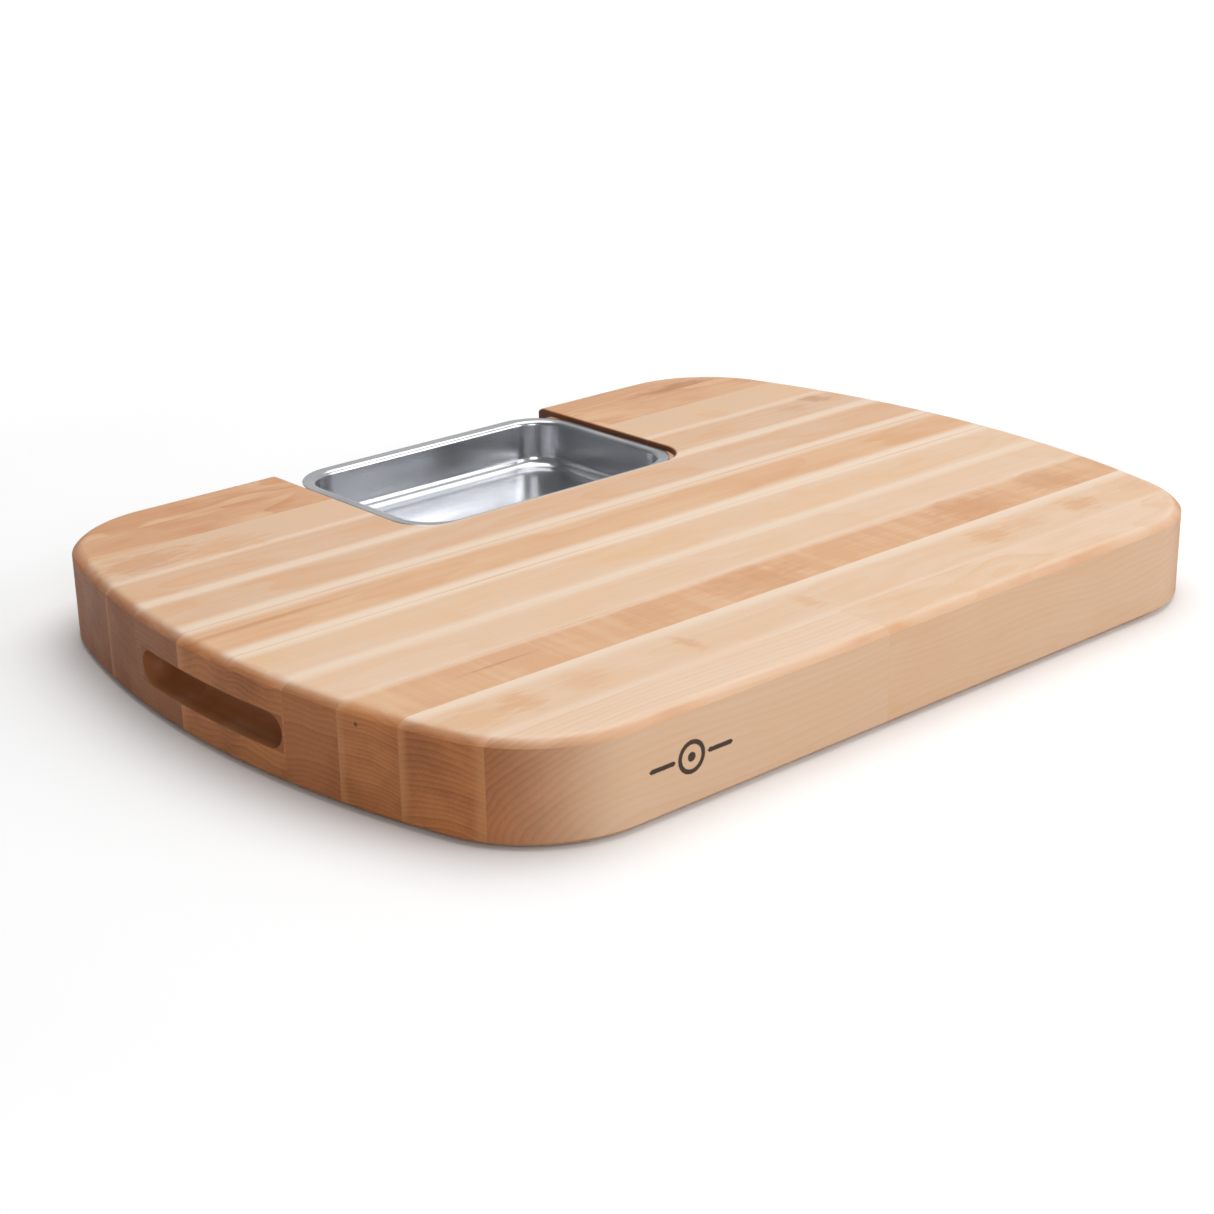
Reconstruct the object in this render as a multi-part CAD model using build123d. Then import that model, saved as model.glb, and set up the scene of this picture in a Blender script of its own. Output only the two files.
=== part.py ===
from build123d import *
import math
import os

# Butcher's cutting board of edge-glued maple staves, with a steel scrap pan that
# slides on two ledges in a notch in its rear edge.
# Millimetres. Origin at the centre of the underside, +X along the length of the
# staves, +Y to the rear edge, where the pan is, and +Z up.

# --- board: driving dimensions ------------------------------------------------
board_length = 609.6            # 24 in., crown to crown of the bowed ends
board_width = 457.2             # 18 in., front face to rear face
board_thickness = 57.15         # 2 1/4 in.
end_bow_radius = 609.6          # plan radius of the two bowed ends
corner_radius = 76.2            # plan radius of the four corners
edge_round_radius = 9.525       # router bit that rounds the top and bottom edges
edge_round_depth = 4.0          # how far down the side that bit is let in

# --- staves -------------------------------------------------------------------
# Widths from the front face to the rear, scaled together to fill the board's width.
stave_widths = [36.0, 46.4, 38.8, 38.4, 46.0, 47.4, 50.0, 41.6, 42.4, 34.8, 35.4]
front_joint_x = -27.0           # butt joint between the two lengths of stave 1

# --- notch for the pan --------------------------------------------------------
notch_width = 223.2             # above the ledges
notch_depth = 157.4             # in from the rear face
notch_offset = 4.0              # centre of the notch, to the right of centre
notch_inner_radius = 25.4       # plan radius of the two inner corners
notch_mouth_radius = 3.0        # plan radius where the notch meets the rear face
notch_top_ease = 1.5            # rounding of the notch's top edge
ledge_width = 5.5               # each ledge, in from the notch's side wall
ledge_setback = 16.0            # the ledges' rear ends in front of the board's rear face

# --- pan ----------------------------------------------------------------------
sheet = 1.0                     # steel sheet
rim_drop = 2.75                 # top of the rim below the top of the board
rim_band = 8.8                  # from the rim's edge to the inside of the wall
rim_corner_radius = 34.0        # plan radius of the rim's corners
rim_setback = 5.7               # rim's rear edge in front of the board's rear face
rim_left_play = 4.2             # air at the notch's left wall, the pan pushed to the right
rim_right_play = 0.3
rim_front_play = 0.4
rim_seat_play = 0.1             # air between the rim and the ledges
pan_depth = 31.5                # top of the rim down to the inside of the floor
pan_draft = 3.0                 # degrees that the walls lean inwards
pan_floor_radius = 8.0          # inside radius between the walls and the floor
rim_bend_radius = 3.2           # outside radius where the wall turns into the rim

# --- finger grips -------------------------------------------------------------
grip_length = 133.35            # 5 1/4 in.
grip_height = 20.0
grip_depth = 18.0               # at the crown of the end

# --- worked out from the above ------------------------------------------------
half_length = board_length / 2
half_width = board_width / 2
mid_height = board_thickness / 2
edge_sweep = math.acos(1 - edge_round_depth / edge_round_radius)
edge_overhang = edge_round_radius * (1 - math.sin(edge_sweep))
notch_front = half_width - notch_depth
rim_top = board_thickness - rim_drop
ledge_top = rim_top - sheet - rim_seat_play
rim_width = notch_width - rim_left_play - rim_right_play
rim_length = notch_depth - rim_front_play - rim_setback
rim_centre_x = notch_offset + (rim_left_play - rim_right_play) / 2
rim_centre_y = half_width - rim_setback - rim_length / 2
overshoot = 20.0                # how far a cutter runs past a face
tolerance = 0.01                # for telling edges and corners apart


def board_plan(grow=0.0):
    """Plan of the board without the notch, grown outwards by an offset."""
    bow = end_bow_radius + grow
    bow_centre = end_bow_radius - half_length
    plan = Rectangle(2 * board_length, board_width + 2 * grow)
    plan = plan & (Pos(bow_centre, 0) * Circle(bow))
    plan = plan & (Pos(-bow_centre, 0) * Circle(bow))
    return fillet(plan.vertices(), corner_radius + grow)


def notch_plan(width):
    """Plan of a notch of one width, open past the rear face."""
    length = notch_depth + overshoot
    centre_y = notch_front + length / 2
    shape = Pos(notch_offset, centre_y) * Rectangle(width, length)
    inner = shape.vertices().sort_by(Axis.Y)[:2]
    return fillet(inner, notch_inner_radius)


def notched_plan():
    """Plan of the board with the notch above the ledges, its mouth corners rounded."""
    plan = board_plan() - notch_plan(notch_width)
    mouth = [v for v in plan.vertices()
             if abs(v.Y - half_width) < tolerance
             and abs(abs(v.X - notch_offset) - notch_width / 2) < tolerance]
    return fillet(mouth, notch_mouth_radius)


def ledge_plan():
    """Plan of the two ledges along the notch's sides."""
    strips = notch_plan(notch_width) - notch_plan(notch_width - 2 * ledge_width)
    return strips & (Pos(0, -ledge_setback) * Rectangle(board_length, board_width))


def rounded_blank():
    """Glued-up slab: edges rounded top and bottom, then notched, with a ledge along each side."""
    oversize = extrude(board_plan(edge_overhang), board_thickness)
    rims = oversize.faces().sort_by(Axis.Z)[0].edges() + oversize.faces().sort_by(Axis.Z)[-1].edges()
    oversize = fillet(rims, edge_round_radius)
    lower = oversize & extrude(notched_plan() + ledge_plan(), ledge_top)
    upper = oversize & (Pos(0, 0, ledge_top) * extrude(notched_plan(), board_thickness))
    side = notch_width / 2 + tolerance
    notch_rim = [e for e in upper.edges().group_by(Axis.Z)[-1]
                 if abs(e.center().X - notch_offset) < side
                 and notch_front - tolerance < e.center().Y < half_width - edge_round_radius]
    return lower + fillet(notch_rim, notch_top_ease)


def finger_grip(side):
    """Cutter for one finger grip; side is -1 for the left end, +1 for the right."""
    radius = grip_height / 2
    axis_x = side * (half_length - grip_depth + radius)
    outline = SlotOverall(grip_length, grip_height)
    upper_half = outline & (Pos(0, grip_height) * Rectangle(2 * grip_length, 2 * grip_height))
    nose = Pos(axis_x, 0, mid_height) * Rot(0, 0, side * 90) * revolve(upper_half, Axis.X)
    mouth = Plane(origin=(axis_x, 0, mid_height), x_dir=(0, 1, 0), z_dir=(side, 0, 0))
    throat = extrude(mouth * outline, grip_depth - radius + overshoot)
    return nose + throat


def scrap_pan():
    """Steel pan: drafted walls, a rounded floor and a flat rim."""
    top = Pos(rim_centre_x, rim_centre_y, rim_top)
    opening = (rim_width - 2 * rim_band, rim_length - 2 * rim_band)
    opening_radius = rim_corner_radius - rim_band

    def tub(grow, depth, floor_radius):
        mouth = RectangleRounded(opening[0] + 2 * grow, opening[1] + 2 * grow, opening_radius + grow)
        solid = extrude(mouth, -depth, taper=pan_draft)
        return fillet(solid.faces().sort_by(Axis.Z)[0].edges(), floor_radius)

    rim = extrude(RectangleRounded(rim_width, rim_length, rim_corner_radius), -sheet)
    pan = rim + tub(sheet, pan_depth + sheet, pan_floor_radius + sheet)
    underside = pan.faces().filter_by(Axis.Z).sort_by(Axis.Z)[1]
    pan = fillet(underside.inner_wires()[0].edges(), rim_bend_radius - sheet)
    pan -= tub(0, pan_depth, pan_floor_radius)
    lip = pan.faces().sort_by(Axis.Z)[-1].inner_wires()[0].edges()
    pan = fillet(lip, rim_bend_radius)
    return top * pan


def stave_spans():
    """Front and rear edge of each stave, from the front face to the rear."""
    scale = board_width / sum(stave_widths)
    edges = [-half_width]
    for width in stave_widths:
        edges.append(edges[-1] + width * scale)
    return list(zip(edges[:-1], edges[1:]))


def between(front, rear, left=-board_length, right=board_length):
    """Box that holds one stave between two glue lines and two ends."""
    box = Box(right - left, rear - front, board_thickness + 2 * overshoot)
    return Pos((left + right) / 2, (front + rear) / 2, mid_height) * box


def staves(slab):
    """Each stave as a named solid; the notch leaves a left and a right piece."""
    pieces = {}
    for number, (front, rear) in enumerate(stave_spans(), start=1):
        name = f"stave_{number:02d}"
        if number == 1:
            pieces[name + "_left"] = slab & between(front, rear, right=front_joint_x)
            pieces[name + "_right"] = slab & between(front, rear, left=front_joint_x)
        elif front > notch_front:
            pieces[name + "_left"] = slab & between(front, rear, right=notch_offset)
            pieces[name + "_right"] = slab & between(front, rear, left=notch_offset)
        else:
            pieces[name] = slab & between(front, rear)
    return pieces


nodes = staves(rounded_blank())
for name in nodes:
    for side in (-1, 1):
        nodes[name] -= finger_grip(side)
nodes["scrap_pan"] = scrap_pan()

os.makedirs("parts", exist_ok=True)
for node, solid in nodes.items():
    export_step(solid, f"parts/{node}.step")
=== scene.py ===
import logging
import math
from collections.abc import Iterable
from dataclasses import dataclass, field
from enum import Enum
from typing import ClassVar

import bpy
from mathutils import Matrix, Vector


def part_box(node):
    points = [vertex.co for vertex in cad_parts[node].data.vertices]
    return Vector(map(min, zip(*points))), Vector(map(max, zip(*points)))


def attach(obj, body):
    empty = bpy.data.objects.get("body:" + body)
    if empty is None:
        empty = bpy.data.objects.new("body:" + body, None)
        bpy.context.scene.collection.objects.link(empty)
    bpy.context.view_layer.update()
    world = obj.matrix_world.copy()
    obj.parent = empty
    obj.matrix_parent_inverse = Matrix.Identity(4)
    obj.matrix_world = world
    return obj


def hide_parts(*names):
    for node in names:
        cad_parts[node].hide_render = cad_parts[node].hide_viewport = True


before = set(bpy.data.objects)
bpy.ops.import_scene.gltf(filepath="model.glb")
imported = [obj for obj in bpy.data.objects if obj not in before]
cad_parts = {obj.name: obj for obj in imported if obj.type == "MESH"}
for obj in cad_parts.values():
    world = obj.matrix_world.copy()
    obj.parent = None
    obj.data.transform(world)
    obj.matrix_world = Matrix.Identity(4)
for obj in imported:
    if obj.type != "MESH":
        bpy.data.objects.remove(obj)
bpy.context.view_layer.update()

LOG = logging.getLogger("cutting_board")

Socket = bpy.types.NodeSocket
Value = Socket | float | tuple[float, ...]
Point = tuple[float, float, float]
Colour = tuple[float, float, float, float]


# --- colours and small helpers --------------------------------------------------


def tone(red: int, green: int, blue: int) -> Colour:
    """Gives a display colour as the linear colour that a shader takes.

    Args:
        red: Red from 0 to 255.
        green: Green from 0 to 255.
        blue: Blue from 0 to 255.

    Returns:
        The linear colour, with an alpha of 1.
    """
    def linear(part: int) -> float:
        """Gives one channel as linear light."""
        share = part / 255
        return share / 12.92 if share <= 0.04045 else ((share + 0.055) / 1.055) ** 2.4

    return (linear(red), linear(green), linear(blue), 1.0)


class Graph:
    """A node tree, with short calls for the nodes that the finishes use."""

    def __init__(self, tree: bpy.types.NodeTree) -> None:
        """Keeps the tree.

        Args:
            tree: The material's or group's node tree.
        """
        self.tree = tree

    def feed(self, socket: Socket, value: Value) -> None:
        """Links a socket to another one, or sets it to a plain value.

        Args:
            socket: The input that is fed.
            value: An output to link, or the value to set.
        """
        if isinstance(value, bpy.types.NodeSocket):
            self.tree.links.new(value, socket)
        else:
            socket.default_value = value

    def node(self, kind: str, given: dict[str | int, Value] | None = None, **settings) -> bpy.types.Node:
        """Adds a node.

        Args:
            kind: The node's type, without its ShaderNode prefix.
            given: What its inputs take, by name or number.
            **settings: Values of the node's own properties.

        Returns:
            The new node.
        """
        made = self.tree.nodes.new("ShaderNode" + kind)
        for name, value in settings.items():
            setattr(made, name, value)
        for name, value in (given or {}).items():
            self.feed(made.inputs[name], value)
        return made

    def math(self, operation: str, *terms: Value, clamp: bool = False) -> Socket:
        """Does arithmetic on one, two or three numbers.

        Args:
            operation: The Math node's operation.
            *terms: The numbers.
            clamp: Whether the result stays between 0 and 1.

        Returns:
            The result.
        """
        made = self.node("Math", dict(enumerate(terms)), operation=operation, use_clamp=clamp)
        return made.outputs[0]

    def span(self, value: Value, low: float, high: float, start: float = 0.0, end: float = 1.0) -> Socket:
        """Moves a number smoothly from one range to another.

        Args:
            value: The number.
            low: The value that gives start.
            high: The value that gives end.
            start: The result at low.
            end: The result at high.

        Returns:
            The result, which stays between start and end.
        """
        given = {"Value": value, "From Min": low, "From Max": high, "To Min": start, "To Max": end}
        return self.node("MapRange", given, interpolation_type="SMOOTHSTEP").outputs[0]

    def mix(self, share: Value, first: Value, second: Value, blend: str = "MIX") -> Socket:
        """Mixes two colours.

        Args:
            share: How much of the second colour.
            first: The colour at a share of 0.
            second: The colour at a share of 1.
            blend: The Mix node's blend type.

        Returns:
            The mixed colour.
        """
        factor, colour_a, colour_b = 0, 6, 7
        given = {factor: share, colour_a: first, colour_b: second}
        return self.node("Mix", given, data_type="RGBA", blend_type=blend).outputs[2]

    def scaled(self, coordinates: Socket, scale: Point, shift: Value = (0.0, 0.0, 0.0)) -> Socket:
        """Stretches coordinates along each axis and then shifts them.

        Args:
            coordinates: The coordinates.
            scale: The factor along each axis.
            shift: What is added afterwards.

        Returns:
            The new coordinates.
        """
        given = {0: coordinates, 1: scale, 2: shift}
        return self.node("VectorMath", given, operation="MULTIPLY_ADD").outputs[0]

    def noise(self, coordinates: Socket, detail: float = 2.0, rough: float = 0.5) -> bpy.types.Node:
        """Adds soft noise with one bump per unit of its coordinates.

        Args:
            coordinates: Where the noise is read.
            detail: How many finer layers it has.
            rough: How strong the finer layers are.

        Returns:
            The noise node, with a value and a colour output.
        """
        given = {"Vector": coordinates, "Scale": 1.0, "Detail": detail, "Roughness": rough}
        return self.node("TexNoise", given)

    def hypotenuse(self, first: Socket, second: Socket) -> Socket:
        """Gives the long side of a right triangle from its two short ones."""
        squares = [self.math("MULTIPLY", side, side) for side in (first, second)]
        return self.math("SQRT", self.math("ADD", *squares))

    def parts(self, vector: Socket) -> tuple[Socket, Socket, Socket]:
        """Splits a vector into its three numbers."""
        made = self.node("SeparateXYZ", {0: vector})
        return made.outputs[0], made.outputs[1], made.outputs[2]


# --- effects that several finishes share ------------------------------------------


class Effect:
    """A surface effect kept as one node group and placed in each material with its own values."""

    title: ClassVar[str]
    takes: ClassVar[dict[str, float | Point]]
    gives: ClassVar[tuple[str, ...]]

    @classmethod
    def wire(cls, graph: Graph, given: dict[str, Socket]) -> dict[str, Socket]:
        """Builds the effect inside its group.

        Args:
            graph: The group's tree.
            given: The group's inputs by name.

        Returns:
            The sockets that feed the group's outputs, by name.
        """
        raise NotImplementedError

    @classmethod
    def group(cls) -> bpy.types.NodeTree:
        """Builds the node group the first time that it is needed.

        Returns:
            The node group.
        """
        found = bpy.data.node_groups.get(cls.title)
        if found:
            return found
        tree = bpy.data.node_groups.new(cls.title, "ShaderNodeTree")
        for name, default in cls.takes.items():
            kind = "NodeSocketVector" if isinstance(default, tuple) else "NodeSocketFloat"
            socket = tree.interface.new_socket(name, in_out="INPUT", socket_type=kind)
            socket.default_value = default
        for name in cls.gives:
            tree.interface.new_socket(name, in_out="OUTPUT", socket_type="NodeSocketFloat")
        start = tree.nodes.new("NodeGroupInput")
        end = tree.nodes.new("NodeGroupOutput")
        graph = Graph(tree)
        made = cls.wire(graph, {name: start.outputs[name] for name in cls.takes})
        for name, socket in made.items():
            graph.feed(end.inputs[name], socket)
        return tree

    @classmethod
    def place(cls, graph: Graph, given: dict[str, Value]) -> dict[str, Socket]:
        """Places the effect in a material.

        Args:
            graph: The material's tree.
            given: What the group's inputs take, by name.

        Returns:
            The group's outputs by name.
        """
        made = graph.node("Group", node_tree=cls.group())
        for name, value in given.items():
            graph.feed(made.inputs[name], value)
        return {name: made.outputs[name] for name in cls.gives}


class Facing(Effect):
    """Tells end grain, rounded edges and upright sides apart by the way that a surface faces."""

    title = "Facing"
    takes = {"Normal": (0.0, 0.0, 1.0)}
    gives = ("End", "Edge", "Side")

    @classmethod
    def wire(cls, graph: Graph, given: dict[str, Socket]) -> dict[str, Socket]:
        """Builds the effect inside its group.

        Args:
            graph: The group's tree.
            given: The group's inputs by name.

        Returns:
            Masks of the cut ends, the rounded edges, and the faces that look to the front or the rear.
        """
        along, across, upward = graph.parts(given["Normal"])
        across_fibre = graph.math("ABSOLUTE", along)
        flat = graph.math("ABSOLUTE", upward)
        inner = graph.span(flat, 0.995, 0.86)
        outer = graph.span(flat, 0.40, 0.60)
        return {
            "End": graph.span(across_fibre, 0.10, 0.95),
            "Edge": graph.math("MULTIPLY", inner, outer),
            "Side": graph.span(graph.math("ABSOLUTE", across), 0.5, 0.95),
        }


class Fibre(Effect):
    """Fine lines along the length of the wood, and short dark pores."""

    title = "Wood fibre"
    takes = {"Coordinates": (0.0, 0.0, 0.0), "Seed": 0.0}
    gives = ("Lines", "Pores")

    @classmethod
    def wire(cls, graph: Graph, given: dict[str, Socket]) -> dict[str, Socket]:
        """Builds the effect inside its group.

        Args:
            graph: The group's tree.
            given: The group's inputs by name.

        Returns:
            The lines, from pale to dark, and a mask of the pores.
        """
        where = given["Coordinates"]
        fine = graph.noise(graph.scaled(where, (9.0, 1100.0, 1100.0), given["Seed"]), 3.0, 0.6)
        broad = graph.noise(graph.scaled(where, (4.0, 230.0, 230.0), given["Seed"]), 3.0, 0.6)
        pores = graph.noise(graph.scaled(where, (190.0, 2300.0, 2300.0), given["Seed"]), 1.0, 0.5)
        both = graph.math("ADD", graph.math("MULTIPLY", fine.outputs[0], 0.45),
                          graph.math("MULTIPLY", broad.outputs[0], 0.55))
        return {"Lines": graph.span(both, 0.36, 0.64), "Pores": graph.span(pores.outputs[0], 0.66, 0.78)}


class GrowthRings(Effect):
    """Growth rings of a tree whose pith runs along the stave, cut wherever the surface is."""

    title = "Growth rings"
    takes = {"Coordinates": (0.0, 0.0, 0.0), "Pith Y": 0.0, "Pith Z": 0.0, "Pitch": 0.002,
             "Wander": 0.004, "Seed": 0.0}
    gives = ("Latewood", "Year")

    @classmethod
    def wire(cls, graph: Graph, given: dict[str, Socket]) -> dict[str, Socket]:
        """Builds the effect inside its group.

        Args:
            graph: The group's tree.
            given: The group's inputs by name.

        Returns:
            The latewood of each ring, and one random shade for each year.
        """
        drift = graph.noise(graph.scaled(given["Coordinates"], (5.0, 16.0, 16.0), given["Seed"]), 2.0, 0.55)
        _, drift_y, drift_z = graph.parts(drift.outputs[1])
        _, y, z = graph.parts(given["Coordinates"])

        def offset(place: Socket, pith: Socket, sway: Socket) -> Socket:
            """Distance from the pith along one axis, with the grain's sway in it."""
            swayed = graph.math("MULTIPLY", graph.math("SUBTRACT", sway, 0.5), given["Wander"])
            return graph.math("ADD", graph.math("SUBTRACT", place, pith), swayed)

        dy = offset(y, given["Pith Y"], drift_y)
        dz = offset(z, given["Pith Z"], drift_z)
        rings = graph.math("DIVIDE", graph.hypotenuse(dy, dz), given["Pitch"])
        share = graph.math("FRACT", rings)
        rise = graph.span(share, 0.25, 0.93)
        fall = graph.span(share, 1.0, 0.94)
        year = graph.node("TexWhiteNoise", {"W": graph.math("FLOOR", rings)}, noise_dimensions="1D")
        return {"Latewood": graph.math("MULTIPLY", rise, fall), "Year": year.outputs[0]}


class Figure(Effect):
    """Curl that crosses the fibre in narrow bars, and broad soft clouds of darker wood."""

    title = "Wood figure"
    takes = {"Coordinates": (0.0, 0.0, 0.0), "Seed": 0.0}
    gives = ("Curl", "Clouds")

    @classmethod
    def wire(cls, graph: Graph, given: dict[str, Socket]) -> dict[str, Socket]:
        """Builds the effect inside its group.

        Args:
            graph: The group's tree.
            given: The group's inputs by name.

        Returns:
            The bars of curl, and a mask of the clouds.
        """
        where = given["Coordinates"]
        bars = graph.noise(graph.scaled(where, (120.0, 9.0, 9.0), given["Seed"]), 3.0, 0.55)
        cloud = graph.noise(graph.scaled(where, (13.0, 26.0, 26.0), given["Seed"]), 3.0, 0.55)
        return {"Curl": graph.span(bars.outputs[0], 0.34, 0.66),
                "Clouds": graph.span(cloud.outputs[0], 0.38, 0.68)}


class Patch(Effect):
    """A soft oval patch with a broken outline."""

    title = "Patch"
    takes = {"Coordinates": (0.0, 0.0, 0.0), "Centre": (0.0, 0.0, 0.0), "Half length": 0.02,
             "Half width": 0.01, "Half height": 1.0, "Ragged": 0.5}
    gives = ("Mask",)

    @classmethod
    def wire(cls, graph: Graph, given: dict[str, Socket]) -> dict[str, Socket]:
        """Builds the effect inside its group.

        Args:
            graph: The group's tree.
            given: The group's inputs by name.

        Returns:
            A mask of the patch.
        """
        away = graph.node("VectorMath", {0: given["Coordinates"], 1: given["Centre"]}, operation="SUBTRACT")
        sizes = graph.node("CombineXYZ", {0: given["Half length"], 1: given["Half width"],
                                          2: given["Half height"]})
        share = graph.node("VectorMath", {0: away.outputs[0], 1: sizes.outputs[0]}, operation="DIVIDE")
        reach = graph.node("VectorMath", {0: share.outputs[0]}, operation="LENGTH").outputs["Value"]
        torn = graph.noise(graph.scaled(given["Coordinates"], (60.0, 260.0, 260.0)), 3.0, 0.6)
        swing = graph.math("MULTIPLY", graph.math("SUBTRACT", torn.outputs[0], 0.5), given["Ragged"])
        edge = graph.math("ADD", reach, graph.math("MULTIPLY", swing, 2.6))
        return {"Mask": graph.span(edge, 1.15, 0.25)}


class Band(Effect):
    """A stripe along the stave, strongest on its line and fading to each side."""

    title = "Band"
    takes = {"Coordinates": (0.0, 0.0, 0.0), "Line": 0.0, "Front reach": 0.004, "Rear reach": 0.004}
    gives = ("Mask",)

    @classmethod
    def wire(cls, graph: Graph, given: dict[str, Socket]) -> dict[str, Socket]:
        """Builds the effect inside its group.

        Args:
            graph: The group's tree.
            given: The group's inputs by name.

        Returns:
            A mask of the stripe.
        """
        sway = graph.noise(graph.scaled(given["Coordinates"], (7.0, 60.0, 60.0)), 2.0, 0.5)
        drift = graph.math("MULTIPLY", graph.math("SUBTRACT", sway.outputs[0], 0.5), 0.005)
        _, y, _ = graph.parts(given["Coordinates"])
        away = graph.math("ADD", graph.math("SUBTRACT", y, given["Line"]), drift)
        rear = graph.math("DIVIDE", away, given["Rear reach"])
        front = graph.math("DIVIDE", away, graph.math("MULTIPLY", given["Front reach"], -1.0))
        return {"Mask": graph.span(graph.math("MAXIMUM", rear, front), 1.0, 0.15)}


class CutZone(Effect):
    """The inside of a box, where a cutter has made a hollow and painted shade darkens the wood."""

    title = "Cut zone"
    takes = {"Coordinates": (0.0, 0.0, 0.0), "Middle": (0.0, 0.0, 0.0), "Half size": (0.1, 0.1, 0.1),
             "Blur": 0.0004}
    gives = ("Mask",)

    @classmethod
    def wire(cls, graph: Graph, given: dict[str, Socket]) -> dict[str, Socket]:
        """Builds the effect inside its group.

        Args:
            graph: The group's tree.
            given: The group's inputs by name.

        Returns:
            A mask of the box.
        """
        away = graph.node("VectorMath", {0: given["Coordinates"], 1: given["Middle"]}, operation="SUBTRACT")
        size = graph.node("VectorMath", {0: away.outputs[0]}, operation="ABSOLUTE")
        past = graph.node("VectorMath", {0: size.outputs[0], 1: given["Half size"]}, operation="SUBTRACT")
        x, y, z = graph.parts(past.outputs[0])
        furthest = graph.math("MAXIMUM", graph.math("MAXIMUM", x, y), z)
        return {"Mask": graph.span(graph.math("DIVIDE", furthest, given["Blur"]), 1.0, -1.0)}


class BurnedMark(Effect):
    """A plain workshop mark burned into the wood: a ring round a dot, between two short bars."""

    title = "Burned mark"
    takes = {"Coordinates": (0.0, 0.0, 0.0), "Centre": (0.0, 0.0, 0.0), "Ring radius": 0.0078,
             "Bar reach": 0.027, "Line width": 0.0026}
    gives = ("Mask",)

    @classmethod
    def wire(cls, graph: Graph, given: dict[str, Socket]) -> dict[str, Socket]:
        """Builds the effect inside its group.

        Args:
            graph: The group's tree.
            given: The group's inputs by name.

        Returns:
            A mask of the mark.
        """
        uneven = graph.noise(graph.scaled(given["Coordinates"], (900.0, 900.0, 900.0)), 2.0, 0.5)
        blur = graph.math("MULTIPLY", graph.math("SUBTRACT", uneven.outputs[0], 0.5), 0.0005)
        away = graph.node("VectorMath", {0: given["Coordinates"], 1: given["Centre"]}, operation="SUBTRACT")
        x, _, z = graph.parts(away.outputs[0])
        radius = graph.hypotenuse(x, z)
        half = graph.math("MULTIPLY", given["Line width"], 0.5)

        def stroke(distance: Socket) -> Socket:
            """Solid inside half the line's width, with a soft burned edge."""
            inside = graph.math("SUBTRACT", graph.math("ADD", distance, blur), half)
            return graph.span(inside, 0.0003, -0.0003)

        ring = stroke(graph.math("ABSOLUTE", graph.math("SUBTRACT", radius, given["Ring radius"])))
        dot = stroke(graph.math("SUBTRACT", radius, half))
        span = graph.math("ABSOLUTE", x)
        start = graph.math("ADD", given["Ring radius"], graph.math("MULTIPLY", given["Line width"], 1.6))
        before = graph.math("SUBTRACT", start, span)
        beyond = graph.math("SUBTRACT", span, given["Bar reach"])
        outside = graph.math("MAXIMUM", graph.math("MAXIMUM", before, beyond), 0.0)
        bar = stroke(graph.math("ADD", graph.math("ABSOLUTE", z), outside))
        return {"Mask": graph.math("MAXIMUM", graph.math("MAXIMUM", ring, dot), bar)}


class BrushLines(Effect):
    """Fine polishing lines, soft smears and slow waves of drawn sheet steel."""

    title = "Brush lines"
    takes = {"Coordinates": (0.0, 0.0, 0.0), "Seed": 0.0}
    gives = ("Lines", "Smears", "Waves")

    @classmethod
    def wire(cls, graph: Graph, given: dict[str, Socket]) -> dict[str, Socket]:
        """Builds the effect inside its group.

        Args:
            graph: The group's tree.
            given: The group's inputs by name.

        Returns:
            The lines, a mask of the smears, and the height of the waves.
        """
        where = given["Coordinates"]
        lines = graph.noise(graph.scaled(where, (60.0, 2600.0, 2600.0), given["Seed"]), 2.0, 0.5)
        smears = graph.noise(graph.scaled(where, (9.0, 30.0, 24.0), given["Seed"]), 2.0, 0.5)
        waves = graph.noise(graph.scaled(where, (21.0, 21.0, 34.0), given["Seed"]), 1.0, 0.4)
        return {"Lines": lines.outputs[0], "Smears": graph.span(smears.outputs[0], 0.35, 0.7),
                "Waves": waves.outputs[0]}


# --- finishes -----------------------------------------------------------------------


class Wood(Enum):
    """The named colours of the board's maple."""

    PALE = tone(226, 200, 176)
    CREAM = tone(222, 192, 164)
    BAND = tone(230, 208, 186)
    TAN = tone(214, 180, 150)
    GOLD = tone(219, 179, 140)
    ORANGE = tone(211, 162, 120)
    AMBER = tone(198, 140, 96)
    BROWN = tone(172, 114, 80)
    # Painted shade on the upright walls of the notch round the pan.
    NOTCH_SHADE = tone(92, 50, 30)
    # Painted shade inside the finger grips.
    GRIP_SHADE = tone(158, 92, 38)
    END_PALE = tone(214, 148, 96)
    END_LIGHT = tone(208, 132, 74)
    END = tone(196, 122, 70)
    END_GREY = tone(178, 116, 76)
    END_DEEP = tone(150, 86, 46)
    CHARRED = tone(44, 30, 24)
    KNOT = tone(84, 60, 48)


@dataclass(frozen=True)
class Spot:
    """A patch of another colour at one place on a stave."""

    x: float
    y: float
    half_length: float
    half_width: float
    colour: Wood
    strength: float = 0.7
    ragged: float = 0.5
    z: float = 0.0
    half_height: float = 1.0


@dataclass(frozen=True)
class Stripe:
    """A pale stripe beside a glue line: where its line is and how far it reaches."""

    y: float
    front: float
    rear: float
    strength: float = 0.7
    colour: Wood = Wood.BAND


@dataclass(frozen=True)
class Cut:
    """A box that a cutter has worked in, and the colour of the painted shade laid on the wood there."""

    middle: Point
    half_size: Point
    colour: Wood
    strength: float = 0.85
    walls_only: bool = False


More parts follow.
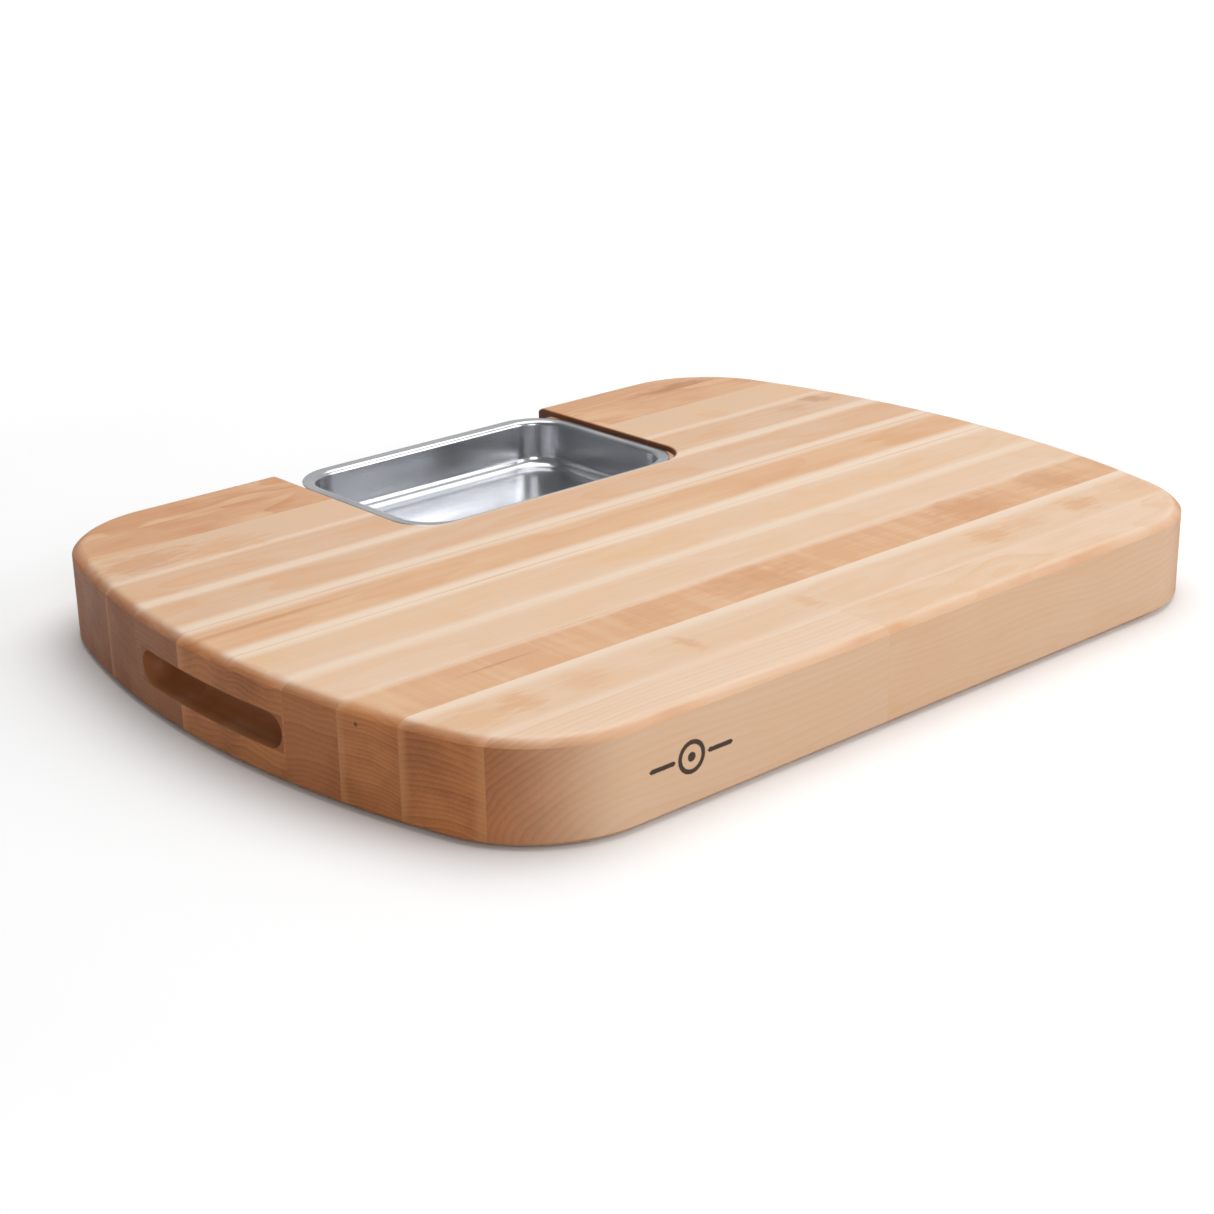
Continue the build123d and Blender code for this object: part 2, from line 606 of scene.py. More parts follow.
@dataclass(frozen=True)
class BoardMaple:
    """Oiled maple of one stave: its colours, figure, rings, stripes and spots."""

    name: str
    light: Wood
    dark: Wood
    seed: float
    pith: tuple[float, float]
    pitch: float = 0.0026
    wander: float = 0.010
    grain: float = 0.35
    curl: float = 0.0
    clouds: float = 0.25
    stripes: tuple[Stripe, ...] = ()
    end_stripes: tuple[Stripe, ...] = ()
    spots: tuple[Spot, ...] = ()
    shaded_cuts: tuple[Cut, ...] = ()
    end: Wood = Wood.END
    mark: Point | None = None

    roughness: ClassVar[float] = 0.39
    relief: ClassVar[float] = 0.12
    relief_depth: ClassVar[float] = 0.0001
    # Painted shade on the rounded edges: how strongly they turn amber, from the palest to the darkest
    # clouds.
    edge_shade_strength: ClassVar[tuple[float, float]] = (0.30, 0.62)
    warm_side: ClassVar[float] = 0.42

    def material(self) -> bpy.types.Material:
        """Builds the stave's material.

        Returns:
            The material, with procedural colour, roughness and relief.
        """
        made = bpy.data.materials.new(self.name)
        made.use_nodes = True
        made.node_tree.nodes.clear()
        graph = Graph(made.node_tree)
        where = graph.node("TexCoord").outputs["Object"]
        normal = graph.node("NewGeometry").outputs["Normal"]
        facing = Facing.place(graph, {"Normal": normal})
        fibre = Fibre.place(graph, {"Coordinates": where, "Seed": self.seed})
        rings = GrowthRings.place(graph, {
            "Coordinates": where, "Pith Y": self.pith[0], "Pith Z": self.pith[1],
            "Pitch": self.pitch, "Wander": self.wander, "Seed": self.seed})
        figure = Figure.place(graph, {"Coordinates": where, "Seed": self.seed})
        side = self.side_grain(graph, where, fibre, rings, figure)
        # Painted shade: the rounded edges are mixed towards amber, unevenly with the clouds, so they read
        # darker than the flat faces.
        uneven = graph.span(figure["Clouds"], 0.0, 1.0, *self.edge_shade_strength)
        edge_shade = graph.math("MULTIPLY", facing["Edge"], uneven)
        side = graph.mix(edge_shade, side, Wood.AMBER.value)
        side = graph.mix(graph.math("MULTIPLY", facing["Side"], self.warm_side), side, Wood.ORANGE.value)
        colour = graph.mix(facing["End"], side, self.end_grain(graph, where, rings, figure))
        colour = self.shade_hollows(graph, where, normal, colour)
        rough = graph.math("ADD", graph.math("MULTIPLY", fibre["Lines"], 0.08),
                           graph.math("MULTIPLY", figure["Clouds"], 0.06))
        rough = graph.math("ADD", rough, self.roughness)
        height = graph.math("ADD", graph.math("MULTIPLY", fibre["Lines"], 0.6), rings["Latewood"])
        height = graph.math("SUBTRACT", height, graph.math("MULTIPLY", fibre["Pores"], 0.8))
        if self.mark:
            burned = BurnedMark.place(graph, {"Coordinates": where, "Centre": self.mark})["Mask"]
            front = graph.math("LESS_THAN", graph.parts(normal)[1], -0.9)
            burned = graph.math("MULTIPLY", burned, front)
            colour = graph.mix(graph.math("MULTIPLY", burned, 0.95), colour, Wood.CHARRED.value)
            rough = graph.math("ADD", rough, graph.math("MULTIPLY", burned, 0.3))
            height = graph.math("SUBTRACT", height, graph.math("MULTIPLY", burned, 3.0))
        bump = graph.node("Bump", {"Height": height, "Distance": self.relief_depth,
                                   "Strength": self.relief})
        shader = graph.node("BsdfPrincipled", {
            "Base Color": colour, "Roughness": rough, "Normal": bump.outputs[0],
            "Specular IOR Level": 0.42, "IOR": 1.46})
        graph.feed(graph.node("OutputMaterial").inputs["Surface"], shader.outputs[0])
        return made

    def shade_hollows(self, graph: Graph, where: Socket, normal: Socket, colour: Socket) -> Socket:
        """Darkens the wood with painted shade where a cutter has made a hollow.

        Args:
            graph: The material's tree.
            where: Object coordinates.
            normal: The surface's normal.
            colour: The colour before the cutter.

        Returns:
            The colour with the stave's cuts.
        """
        upright = graph.span(graph.math("ABSOLUTE", graph.parts(normal)[2]), 0.93, 0.25)
        # Painted shade: each hollow is mixed towards its dark colour, on all faces for a grip and on the
        # upright walls only for the notch.
        for cut in self.shaded_cuts:
            given = {"Coordinates": where, "Middle": cut.middle, "Half size": cut.half_size}
            zone = CutZone.place(graph, given)["Mask"]
            if cut.walls_only:
                zone = graph.math("MULTIPLY", zone, upright)
            colour = graph.mix(graph.math("MULTIPLY", zone, cut.strength), colour, cut.colour.value)
        return colour

    def side_grain(self, graph: Graph, where: Socket, fibre: dict[str, Socket],
                   rings: dict[str, Socket], figure: dict[str, Socket]) -> Socket:
        """Wires the colour of the faces that run along the fibre.

        Args:
            graph: The material's tree.
            where: Object coordinates.
            fibre: Outputs of the fibre effect.
            rings: Outputs of the growth rings effect.
            figure: Outputs of the figure effect.

        Returns:
            The colour.
        """
        lines = graph.math("MULTIPLY", rings["Latewood"], self.grain)
        years = graph.math("MULTIPLY", rings["Year"], self.grain * 0.5)
        thread = graph.math("MULTIPLY", fibre["Lines"], 0.22)
        cloud = graph.math("MULTIPLY", figure["Clouds"], self.clouds)
        bars = graph.math("MULTIPLY", figure["Curl"], self.curl)
        share = graph.math("ADD", graph.math("ADD", lines, years), graph.math("ADD", thread, cloud))
        share = graph.math("ADD", share, bars, clamp=True)
        colour = graph.mix(share, self.light.value, self.dark.value)
        for stripe in self.stripes:
            colour = self.striped(graph, where, colour, stripe)
        for spot in self.spots:
            colour = self.spotted(graph, where, colour, spot)
        return graph.mix(graph.math("MULTIPLY", fibre["Pores"], 0.16), colour, Wood.BROWN.value)

    def end_grain(self, graph: Graph, where: Socket, rings: dict[str, Socket],
                  figure: dict[str, Socket]) -> Socket:
        """Wires the colour of the cut ends, where the oil soaks in and darkens the rings.

        Args:
            graph: The material's tree.
            where: Object coordinates.
            rings: Outputs of the growth rings effect.
            figure: Outputs of the figure effect.

        Returns:
            The colour.
        """
        speck = graph.noise(graph.scaled(where, (300.0, 900.0, 900.0)), 2.0, 0.6)
        share = graph.math("ADD", graph.math("MULTIPLY", rings["Latewood"], 0.26),
                           graph.math("MULTIPLY", rings["Year"], 0.24))
        share = graph.math("ADD", share, graph.math("MULTIPLY", figure["Clouds"], 0.4))
        flecks = graph.math("MULTIPLY", graph.math("SUBTRACT", speck.outputs[0], 0.5), 0.5)
        share = graph.math("ADD", share, flecks, clamp=True)
        colour = graph.mix(share, self.end.value, Wood.END_DEEP.value)
        for stripe in self.end_stripes:
            colour = self.striped(graph, where, colour, stripe)
        for spot in self.spots:
            if spot.half_height < 1.0:
                colour = self.spotted(graph, where, colour, spot)
        return colour

    @staticmethod
    def striped(graph: Graph, where: Socket, colour: Socket, stripe: Stripe) -> Socket:
        """Lays a pale stripe over a colour.

        Args:
            graph: The material's tree.
            where: Object coordinates.
            colour: The colour below.
            stripe: The stripe.

        Returns:
            The colour with the stripe.
        """
        mask = Band.place(graph, {"Coordinates": where, "Line": stripe.y, "Front reach": stripe.front,
                                  "Rear reach": stripe.rear})["Mask"]
        return graph.mix(graph.math("MULTIPLY", mask, stripe.strength), colour, stripe.colour.value)

    @staticmethod
    def spotted(graph: Graph, where: Socket, colour: Socket, spot: Spot) -> Socket:
        """Lays a spot over a colour.

        Args:
            graph: The material's tree.
            where: Object coordinates.
            colour: The colour below.
            spot: The spot.

        Returns:
            The colour with the spot.
        """
        given = {"Coordinates": where, "Centre": (spot.x, spot.y, spot.z), "Half length": spot.half_length,
                 "Half width": spot.half_width, "Half height": spot.half_height, "Ragged": spot.ragged}
        mask = Patch.place(graph, given)["Mask"]
        return graph.mix(graph.math("MULTIPLY", mask, spot.strength), colour, spot.colour.value)


@dataclass(frozen=True)
class PanSteel:
    """Satin stainless steel of the pan."""

    name: str = "pan_steel"
    bright: Colour = tone(206, 207, 210)
    dull: Colour = tone(184, 186, 191)
    roughness: float = 0.15
    brush_depth: float = 0.00002
    wave_depth: float = 0.0008

    def material(self) -> bpy.types.Material:
        """Builds the steel's material.

        Returns:
            The material.
        """
        made = bpy.data.materials.new(self.name)
        made.use_nodes = True
        made.node_tree.nodes.clear()
        graph = Graph(made.node_tree)
        where = graph.node("TexCoord").outputs["Object"]
        brush = BrushLines.place(graph, {"Coordinates": where, "Seed": 4.0})
        colour = graph.mix(brush["Smears"], self.bright, self.dull)
        rough = graph.math("ADD", self.roughness, graph.math("MULTIPLY", brush["Smears"], 0.08))
        rough = graph.math("ADD", rough, graph.math("MULTIPLY", brush["Lines"], 0.06))
        fine = graph.node("Bump", {"Height": brush["Lines"], "Distance": self.brush_depth,
                                   "Strength": 0.35})
        slow = graph.node("Bump", {"Height": brush["Waves"], "Distance": self.wave_depth,
                                   "Strength": 0.25, "Normal": fine.outputs[0]})
        shader = graph.node("BsdfPrincipled", {
            "Base Color": colour, "Metallic": 1.0, "Roughness": rough, "Normal": slow.outputs[0]})
        graph.feed(graph.node("OutputMaterial").inputs["Surface"], shader.outputs[0])
        return made


# --- sub-assemblies -------------------------------------------------------------------


def dress(node: str, material: bpy.types.Material) -> None:
    """Gives a CAD node one material.

    Args:
        node: The node's name.
        material: The material.
    """
    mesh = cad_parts[node].data
    mesh.materials.clear()
    mesh.materials.append(material)


@dataclass
class StaveBoard:
    """The glued-up slab of staves, each with its own piece of maple."""

    prefix: str = "stave_"
    count: int = 11
    mark_from_left: float = 0.10
    grip_half_size: Point = (0.0195, 0.0674, 0.0104)
    notch_side: float = 0.0065
    notch_front: float = 0.0025
    notch_rear: float = 0.0225
    notch_height: float = 0.05
    finishes: dict[str, BoardMaple] = field(default_factory=dict)

    def edges(self, number: int) -> tuple[float, float]:
        """Gives a stave's front and rear glue line.

        Args:
            number: The stave's number from the front.

        Returns:
            Its lowest and highest Y in metres.
        """
        stem = f"{self.prefix}{number:02d}"
        low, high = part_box(next(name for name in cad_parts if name.startswith(stem)))
        return low.y, high.y

    def cut_zones(self) -> tuple[tuple[Cut, ...], tuple[Cut, ...]]:
        """Works out where the cutters have been, and the painted shade that darkens each hollow.

        Returns:
            The zones of the two finger grips, and the zone of the notch.
        """
        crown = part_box("stave_06")[1]
        # Painted shade: the inside of each finger grip is darkened to a deep honey brown.
        grips = tuple(Cut((side * crown.x, 0.0, crown.z / 2), self.grip_half_size, Wood.GRIP_SHADE, 0.8)
                      for side in (-1, 1))
        pan_low, pan_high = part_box("scrap_pan")
        low = pan_low - Vector((self.notch_side, self.notch_front, self.notch_height))
        high = pan_high + Vector((self.notch_side, self.notch_rear, self.notch_height))
        # Painted shade: the notch's upright walls are darkened to a deep brown.
        notch = Cut(tuple((low + high) / 2), tuple((high - low) / 2), Wood.NOTCH_SHADE, walls_only=True)
        return grips, (notch,)

    def plan(self) -> None:
        """Chooses the wood of every stave, from the front of the board to the rear."""
        grips, notch = self.cut_zones()
        line = [self.edges(number)[0] for number in range(1, self.count + 1)]
        front = line[0]
        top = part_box("stave_06")[1].z
        left, joint = (corner.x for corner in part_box("stave_01_left"))
        mark = (left + self.mark_from_left, front, top / 2)
        self.finishes = {
            "stave_01_left": BoardMaple(
                "maple_01_left", Wood.PALE, Wood.GOLD, seed=1.3, pith=(front - 0.05, -0.02),
                pitch=0.0030, wander=0.020, grain=0.30, clouds=0.12, mark=mark,
                stripes=(Stripe(line[1], 0.003, 0.003, 0.35),),
                spots=(Spot(joint, front + 0.018, 0.0012, 0.04, Wood.TAN, 0.5, 0.1),)),
            "stave_01_right": BoardMaple(
                "maple_01_right", Wood.PALE, Wood.GOLD, seed=7.9, pith=(front + 0.02, -0.15),
                pitch=0.0042, wander=0.045, grain=0.30, clouds=0.35,
                spots=(Spot(joint + 0.035, front + 0.018, 0.05, 0.03, Wood.GOLD, 0.35, 0.7),)),
            "stave_02": BoardMaple(
                "maple_02", Wood.CREAM, Wood.GOLD, seed=2.1, pith=(line[1] + 0.02, -0.05),
                pitch=0.0030, wander=0.020, grain=0.30, clouds=0.25, end=Wood.END_LIGHT,
                stripes=(Stripe(line[2], 0.013, 0.001, 0.9), Stripe(line[1], 0.001, 0.006, 0.5)),
                end_stripes=(Stripe(line[2], 0.007, 0.002, 0.6, Wood.END_PALE),
                             Stripe(line[1], 0.001, 0.008, 0.5, Wood.END_PALE)),
                spots=tuple(Spot(x, line[1] + 0.022, reach, 0.014, Wood.ORANGE, power, 0.8)
                            for x, reach, power in (
                                (-0.262, 0.030, 0.45), (-0.228, 0.014, 0.75), (-0.190, 0.016, 0.45),
                                (-0.118, 0.006, 0.70), (-0.030, 0.007, 0.55), (0.125, 0.018, 0.70),
                                (0.155, 0.020, 0.40), (0.208, 0.016, 0.80), (0.262, 0.018, 0.40)))),
            "stave_03": BoardMaple(
                "maple_03", Wood.GOLD, Wood.ORANGE, seed=3.7, pith=(line[2] + 0.02, -0.06),
                pitch=0.0024, wander=0.012, grain=0.25, curl=0.7, clouds=0.35, end=Wood.END_LIGHT,
                stripes=(Stripe(line[3], 0.006, 0.001, 0.5),),
                end_stripes=(Stripe(line[3], 0.006, 0.002, 0.5, Wood.END_PALE),),
                spots=(Spot(-0.025, line[2] + 0.018, 0.040, 0.024, Wood.AMBER, 0.5, 0.8),
                       Spot(0.155, line[2] + 0.018, 0.035, 0.024, Wood.AMBER, 0.55, 0.8),
                       Spot(0.232, line[2] + 0.018, 0.026, 0.024, Wood.AMBER, 0.5, 0.8),
                       Spot(-0.105, line[2] + 0.018, 0.020, 0.020, Wood.AMBER, 0.35, 0.8),
                       Spot(-0.208, line[2] + 0.022, 0.034, 0.0014, Wood.BROWN, 0.5, 0.3),
                       Spot(-0.297, line[2] + 0.026, 0.030, 0.0016, Wood.KNOT, 0.9, 0.1,
                            z=top - 0.0085, half_height=0.0016))),
            "stave_04": BoardMaple(
                "maple_04", Wood.CREAM, Wood.GOLD, seed=4.4, pith=(line[3] + 0.02, -0.09),
                pitch=0.0034, wander=0.020, grain=0.22, clouds=0.2,
                stripes=(Stripe(line[4], 0.008, 0.001, 0.6), Stripe(line[3], 0.001, 0.006, 0.4))),
            "stave_05": BoardMaple(
                "maple_05", Wood.CREAM, Wood.GOLD, seed=5.2, pith=(line[4] + 0.03, -0.12),
                pitch=0.0034, wander=0.024, grain=0.35, clouds=0.35, shaded_cuts=grips, end=Wood.END_LIGHT,
                stripes=(Stripe(line[4], 0.001, 0.010, 0.8), Stripe(line[5], 0.008, 0.001, 0.9)),
                spots=(Spot(0.0, line[4] + 0.024, 0.35, 0.014, Wood.GOLD, 0.5, 0.4),)),
            "stave_06": BoardMaple(
                "maple_06", Wood.GOLD, Wood.ORANGE, seed=6.6, pith=(line[5] + 0.02, -0.10),
                pitch=0.0036, wander=0.026, grain=0.35, clouds=0.4, shaded_cuts=grips, end=Wood.END_LIGHT,
                stripes=(Stripe(line[5] + 0.003, 0.004, 0.011, 0.95), Stripe(line[6], 0.008, 0.001, 0.65)),
                end_stripes=(Stripe(line[6], 0.008, 0.002, 0.6, Wood.END_PALE),),
                spots=(Spot(-0.262, line[5] + 0.033, 0.070, 0.0035, Wood.AMBER, 0.8, 0.25),
                       Spot(0.120, line[5] + 0.020, 0.060, 0.010, Wood.ORANGE, 0.6, 0.5))),
            "stave_07": BoardMaple(
                "maple_07", Wood.TAN, Wood.ORANGE, seed=8.3, pith=(line[6] + 0.03, -0.12),
                pitch=0.0032, wander=0.022, grain=0.30, clouds=0.3, shaded_cuts=grips + notch, end=Wood.END_GREY,
                stripes=(Stripe(line[6] + 0.004, 0.005, 0.009, 0.85), Stripe(line[7], 0.009, 0.001, 0.8))),
            "stave_08": BoardMaple(
                "maple_08", Wood.TAN, Wood.ORANGE, seed=9.1, pith=(line[7] + 0.03, -0.10),
                pitch=0.0030, wander=0.020, grain=0.30, clouds=0.3, shaded_cuts=notch, end=Wood.END_GREY,
                stripes=(Stripe(line[7] + 0.001, 0.004, 0.008, 0.75), Stripe(line[8], 0.006, 0.001, 0.6)),
                end_stripes=(Stripe(line[8], 0.006, 0.002, 0.5, Wood.END_PALE),),
                spots=(Spot(0.268, line[8] - 0.010, 0.012, 0.012, Wood.BROWN, 0.5, 0.9),
                       Spot(0.240, line[8] - 0.016, 0.016, 0.010, Wood.AMBER, 0.4, 0.9))),
            "stave_09": BoardMaple(
                "maple_09", Wood.TAN, Wood.GOLD, seed=10.7, pith=(line[8] + 0.03, -0.08),
                pitch=0.0030, wander=0.020, grain=0.30, clouds=0.35, shaded_cuts=notch, end=Wood.END_GREY,
                stripes=(Stripe(line[8], 0.001, 0.006, 0.6),),
                spots=(Spot(-0.255, line[8] + 0.022, 0.040, 0.020, Wood.AMBER, 0.6, 0.9),
                       Spot(-0.205, line[8] + 0.014, 0.030, 0.016, Wood.ORANGE, 0.7, 0.9),
                       Spot(0.190, line[8] + 0.010, 0.014, 0.014, Wood.ORANGE, 0.3, 0.8))),
            "stave_10": BoardMaple(
                "maple_10", Wood.GOLD, Wood.AMBER, seed=11.2, pith=(line[9] + 0.02, -0.09),
                pitch=0.0030, wander=0.018, grain=0.4, clouds=0.5, shaded_cuts=notch,
                spots=(Spot(-0.245, line[9] + 0.014, 0.070, 0.014, Wood.AMBER, 0.35, 0.7),)),
            "stave_11": BoardMaple(
                "maple_11", Wood.GOLD, Wood.AMBER, seed=12.8, pith=(line[10] + 0.02, -0.07),
                pitch=0.0028, wander=0.016, grain=0.40, clouds=0.45, shaded_cuts=notch,
                spots=(Spot(0.175, line[10] + 0.018, 0.130, 0.022, Wood.AMBER, 0.40, 0.6),
                       Spot(0.218, line[10] + 0.004, 0.044, 0.010, Wood.BROWN, 0.70, 0.6),
                       Spot(0.150, line[10], 0.040, 0.006, Wood.AMBER, 0.55, 0.5))),
        }

    def build(self) -> Iterable[str]:
        """Dresses every stave.

        Returns:
            The names of the dressed nodes.
        """
        self.plan()
        dressed = []
        for stem, finish in self.finishes.items():
            material = finish.material()
            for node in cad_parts:
                if node.startswith(stem):
                    dress(node, material)
                    dressed.append(node)
        return sorted(dressed)


@dataclass
class ScrapPan:
    """The drawn steel pan: a rolled rim, a drafted wall, a rounded foot and a dished floor."""

    node: str = "scrap_pan"
    sheet: float = 0.001
    rim_band: float = 0.0088
    corner: float = 0.034
    bend: float = 0.0032
    foot: float = 0.008
    draft: float = math.radians(3)
    least_corner: float = 0.004
    corner_steps: int = 14
    side_steps: int = 10
    arc_steps: int = 8
    edge_steps: int = 6
    flat_shares: tuple[float, ...] = (0.25, 0.6)
    floor_shares: tuple[float, ...] = (0.8, 0.55, 0.3)
    floor_rise: float = 0.0004

    def outline(self, inset: float, height: float) -> list[Vector]:
        """Gives one rounded rectangle round the pan.

        Args:
            inset: How far inside the rim's edge it lies.
            height: Its Z.

        Returns:
            Its points, anticlockwise from the rear end of the right side.
        """
        low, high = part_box(self.node)
        middle = (low + high) / 2
        half = (high - low) / 2 - Vector((inset, inset, 0))
        radius = max(self.corner - inset, self.least_corner)
        points = []
        for turn, (side_x, side_y) in enumerate(((1, 1), (-1, 1), (-1, -1), (1, -1))):
            centre = Vector((side_x * (half.x - radius), side_y * (half.y - radius)))
            for step in range(self.corner_steps + 1):
                angle = math.radians(90) * (turn + step / self.corner_steps)
                points.append(centre + radius * Vector((math.cos(angle), math.sin(angle))))
            straight = half.x - radius if turn % 2 == 0 else half.y - radius
            along = Vector((-math.sin(angle), math.cos(angle)))
            start = points[-1]
            for step in range(1, self.side_steps):
                points.append(start + along * (2 * straight * step / self.side_steps))
        return [Vector((middle.x + p.x, middle.y + p.y, height)) for p in points]

    def profile(self, skin: float) -> list[tuple[float, float]]:
        """Gives the section of one skin of the sheet, from the rim inwards to the floor.

        Args:
            skin: 0 for the inside skin, or the sheet's thickness for the outside skin.

        Returns:
            Pairs of inset and depth below the top of the rim.
        """
        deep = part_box(self.node)[1].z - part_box(self.node)[0].z - self.sheet
        wall = self.rim_band
        points = [((wall - self.bend) * share, skin) for share in self.flat_shares]
        bend = self.bend - skin
        for step in range(self.arc_steps + 1):
            angle = (math.pi / 2 - self.draft) * step / self.arc_steps
            points.append((wall - self.bend + bend * math.sin(angle), self.bend - bend * math.cos(angle)))
        lean = math.tan(self.draft)
        foot = self.foot + skin
        centre_in = wall + deep * lean + self.foot * (1 - math.sin(self.draft)) / math.cos(self.draft)
        centre_down = deep - self.foot
        for step in range(self.arc_steps + 1):
            angle = self.draft + (math.pi / 2 - self.draft) * step / self.arc_steps
            points.append((centre_in - foot * math.cos(angle), centre_down + foot * math.sin(angle)))
        return points

    def build(self) -> bpy.types.Object:
        """Builds the pan as one closed shell, dresses it and lets it ride on its body.

        Returns:
            The pan.
        """
        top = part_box(self.node)[1].z
        turns = [math.pi * step / self.edge_steps for step in range(self.edge_steps - 1, 0, -1)]
        rim = [(self.sheet / 2 * (1 - math.sin(turn)), self.sheet / 2 * (1 - math.cos(turn)))
               for turn in turns]
        section = self.profile(self.sheet)[::-1] + rim + self.profile(0.0)
        loops = [self.outline(inset, top - depth) for inset, depth in section]
        count = len(loops[0])
        vertices = [point for loop in loops for point in loop]
        faces = []
        for row in range(len(loops) - 1):
            for step in range(count):
                after = (step + 1) % count
                faces.append((row * count + step, row * count + after,
                              (row + 1) * count + after, (row + 1) * count + step))
        self.close_floor(vertices, faces, loops[0], 0, 0.0, flip=True)
        self.close_floor(vertices, faces, loops[-1], (len(loops) - 1) * count, self.floor_rise, flip=False)
        mesh = bpy.data.meshes.new("pan_shell")
        mesh.from_pydata([tuple(v) for v in vertices], [], faces)
        mesh.validate()
        mesh.shade_smooth()
        mesh.update()
        pan = bpy.data.objects.new("pan_shell", mesh)
        bpy.context.scene.collection.objects.link(pan)
        mesh.materials.append(PanSteel().material())
        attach(pan, "pan")
        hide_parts(self.node)
        return pan

    def close_floor(self, vertices: list[Vector], faces: list[tuple[int, ...]], loop: list[Vector],
                    first: int, rise: float, flip: bool) -> None:
        """Closes the floor with shrinking loops and a fan, slightly raised in the middle.

        Args:
            vertices: The shell's points, which this adds to.
            faces: The shell's faces, which this adds to.
            loop: The points round the floor.
            first: The number of the loop's first point.
            rise: How far the middle stands above the edge.
            flip: Whether the faces look down.
        """
        low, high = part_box(self.node)
        middle = (low + high) / 2
        middle.z = loop[0].z
        count = len(loop)
        previous = first
        for share in self.floor_shares:
            start = len(vertices)
            lift = Vector((0, 0, rise * (1 - share) ** 2))
            vertices.extend(middle + (point - middle) * share + lift for point in loop)
            for step in range(count):
                after = (step + 1) % count
                ring = (previous + step, previous + after, start + after, start + step)
                faces.append(tuple(reversed(ring)) if flip else ring)
            previous = start
        centre = len(vertices)
        vertices.append(middle + Vector((0, 0, rise)))
        for step in range(count):
            after = (step + 1) % count
            fan = (previous + step, previous + after, centre)
            faces.append(tuple(reversed(fan)) if flip else fan)


# --- studio ---------------------------------------------------------------------------


@dataclass(frozen=True)
class SoftBox:
    """A square studio light that faces a point."""

    name: str
    place: Point
    aim: Point
    side: float
    power: float

    def build(self) -> None:
        """Adds the light."""
        light = bpy.data.lights.new(self.name, "AREA")
        light.size = self.side
        light.energy = self.power
        lamp = bpy.data.objects.new(self.name, light)
        lamp.location = self.place
        towards = Vector(self.aim) - Vector(self.place)
        lamp.rotation_euler = towards.to_track_quat("-Z", "Y").to_euler()
        bpy.context.scene.collection.objects.link(lamp)


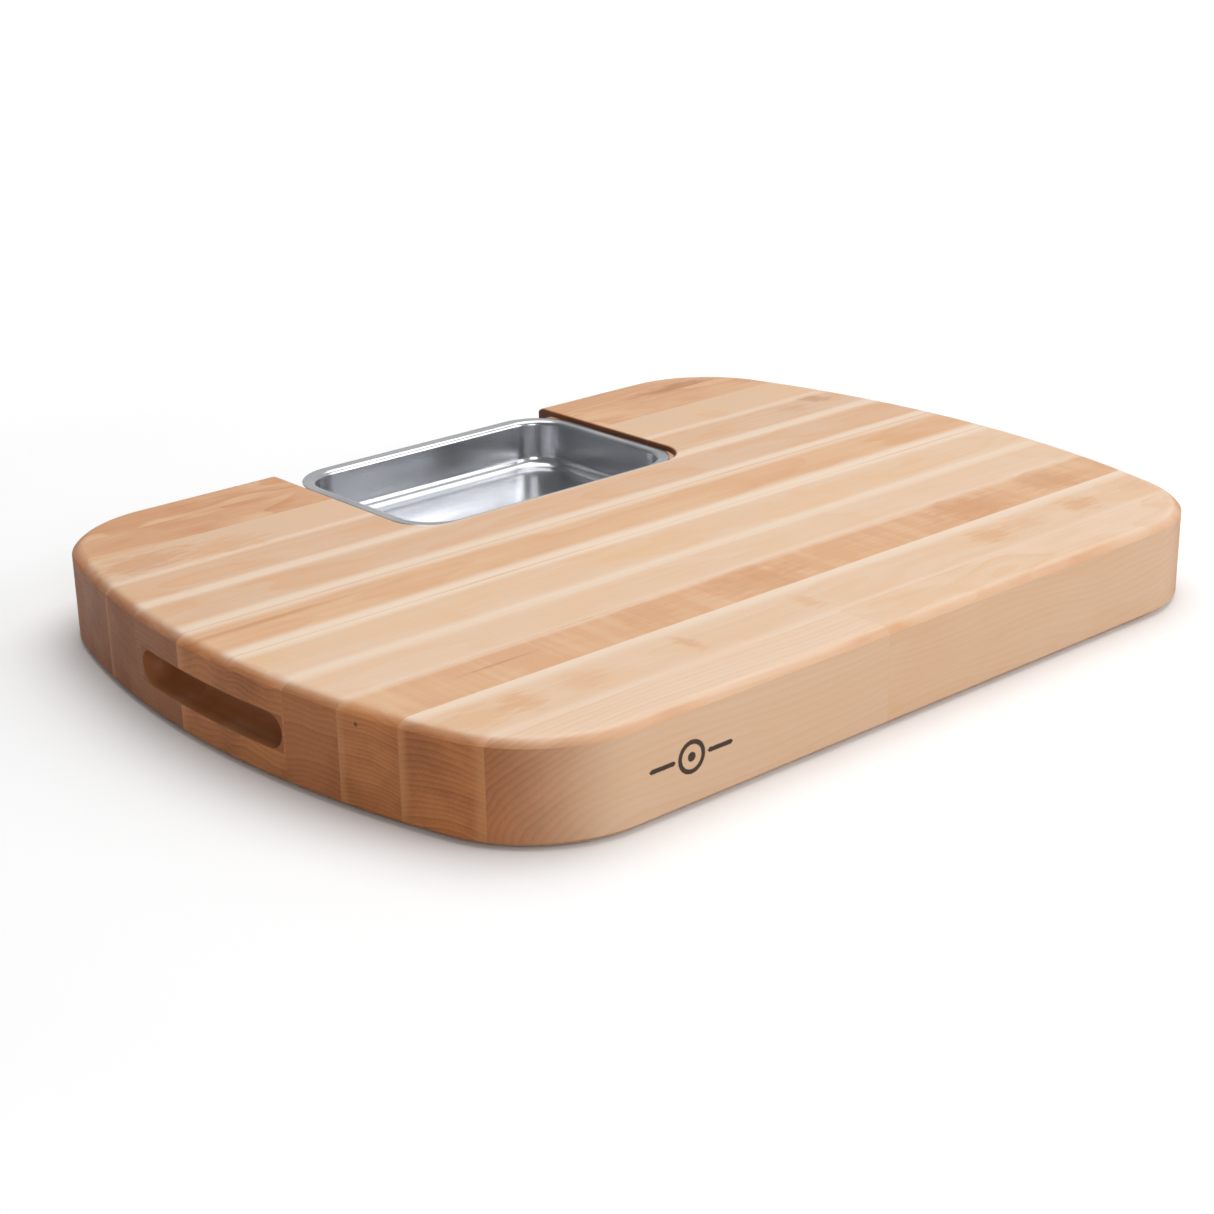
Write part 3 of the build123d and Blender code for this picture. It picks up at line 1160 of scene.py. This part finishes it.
@dataclass
class Studio:
    """The pale floor, the soft lights, the white surroundings and the camera."""

    azimuth: float = math.radians(-41.34)
    elevation: float = math.radians(20.73)
    roll: float = math.radians(-1.05)
    distance: float = 1.38759
    slide: tuple[float, float] = (-0.01746, -0.00056)
    lens: float = 67.54
    sensor: float = 36.0
    sight: float = 60.0
    floor_side: float = 24.0
    floor_drop: float = 0.0002
    floor_colour: Colour = (0.95, 0.95, 0.95, 1.0)
    floor_bounce: Colour = (0.60, 0.60, 0.60, 1.0)
    glow_from: float = 0.5
    glow_to: float = 1.8
    glow: float = 0.9
    dim_left: float = 0.20
    bright_right: float = 0.62
    lights: tuple[SoftBox, ...] = (
        SoftBox("overhead", (0.45, 0.15, 2.1), (0.1, 0.0, 0.0), 2.2, 34.0),
        SoftBox("front_right", (1.2, -2.2, 1.0), (0.0, 0.0, 0.0), 1.5, 21.0),
        SoftBox("front_left", (-1.2, -2.1, 0.9), (0.0, 0.0, 0.0), 1.0, 11.0),
    )

    def build(self) -> None:
        """Builds the studio."""
        self.add_floor()
        self.add_surroundings()
        for light in self.lights:
            light.build()
        self.add_camera()
        bpy.context.scene.view_settings.view_transform = "Standard"

    def add_floor(self) -> None:
        """Adds the floor that the board stands on."""
        half = self.floor_side / 2
        mesh = bpy.data.meshes.new("floor")
        corners = [(x * half, y * half, -self.floor_drop) for x, y in ((-1, -1), (1, -1), (1, 1), (-1, 1))]
        mesh.from_pydata(corners, [], [(0, 1, 2, 3)])
        floor = bpy.data.objects.new("floor", mesh)
        bpy.context.scene.collection.objects.link(floor)
        paper = bpy.data.materials.new("white_paper")
        paper.use_nodes = True
        paper.node_tree.nodes.clear()
        graph = Graph(paper.node_tree)
        seen = graph.node("LightPath").outputs["Is Camera Ray"]
        away = graph.node("VectorMath", {0: graph.node("TexCoord").outputs["Object"]}, operation="LENGTH")
        rise = graph.span(away.outputs["Value"], self.glow_from, self.glow_to, 0.0, self.glow)
        lift = graph.math("MULTIPLY", rise, seen)
        dim = graph.node("BsdfDiffuse", {"Color": self.floor_bounce})
        bright = graph.node("BsdfDiffuse", {"Color": self.floor_colour})
        glow = graph.node("Emission", {"Color": self.floor_colour, "Strength": lift})
        both = graph.node("MixShader", {0: seen, 1: dim.outputs[0], 2: bright.outputs[0]})
        lit = graph.node("AddShader", {0: both.outputs[0], 1: glow.outputs[0]})
        graph.feed(graph.node("OutputMaterial").inputs["Surface"], lit.outputs[0])
        mesh.materials.append(paper)

    def add_surroundings(self) -> None:
        """Adds the white studio, which is dimmer on the left."""
        world = bpy.data.worlds.new("studio")
        world.use_nodes = True
        world.node_tree.nodes.clear()
        graph = Graph(world.node_tree)
        direction = graph.node("TexCoord").outputs["Generated"]
        along = graph.parts(direction)[0]
        strength = graph.span(along, -0.7, 0.6, self.dim_left, self.bright_right)
        seen = graph.node("LightPath").outputs["Is Camera Ray"]
        dim = graph.node("Background", {"Color": (1.0, 1.0, 1.0, 1.0), "Strength": strength})
        white = graph.node("Background", {"Color": (1.0, 1.0, 1.0, 1.0), "Strength": 1.0})
        both = graph.node("MixShader", {0: seen, 1: dim.outputs[0], 2: white.outputs[0]})
        graph.feed(graph.node("OutputWorld").inputs["Surface"], both.outputs[0])
        bpy.context.scene.world = world

    def add_camera(self) -> None:
        """Adds the camera, looking at the board from its front left corner."""
        back = Vector((math.sin(self.azimuth) * math.cos(self.elevation),
                       -math.cos(self.azimuth) * math.cos(self.elevation), math.sin(self.elevation)))
        level = (-back).cross(Vector((0, 0, 1))).normalized()
        upright = level.cross(-back)
        right = level * math.cos(self.roll) + upright * math.sin(self.roll)
        up = upright * math.cos(self.roll) - level * math.sin(self.roll)
        place = back * self.distance + right * self.slide[0] + up * self.slide[1]
        lens = bpy.data.cameras.new("camera")
        lens.lens = self.lens
        lens.sensor_width = self.sensor
        lens.clip_end = self.sight
        camera = bpy.data.objects.new("camera", lens)
        camera.matrix_world = Matrix((
            (right.x, up.x, back.x, place.x),
            (right.y, up.y, back.y, place.y),
            (right.z, up.z, back.z, place.z),
            (0, 0, 0, 1)))
        bpy.context.scene.collection.objects.link(camera)
        bpy.context.scene.camera = camera


def main() -> None:
    """Builds the board, the pan and the studio, and reports each piece."""
    logging.basicConfig(level=logging.INFO, format="%(message)s")
    Studio().build()
    for node in StaveBoard().build():
        LOG.info("dressed %s", node)
    pan = ScrapPan().build()
    LOG.info("built %s with %d faces", pan.name, len(pan.data.polygons))


if __name__ == "__main__":
    main()
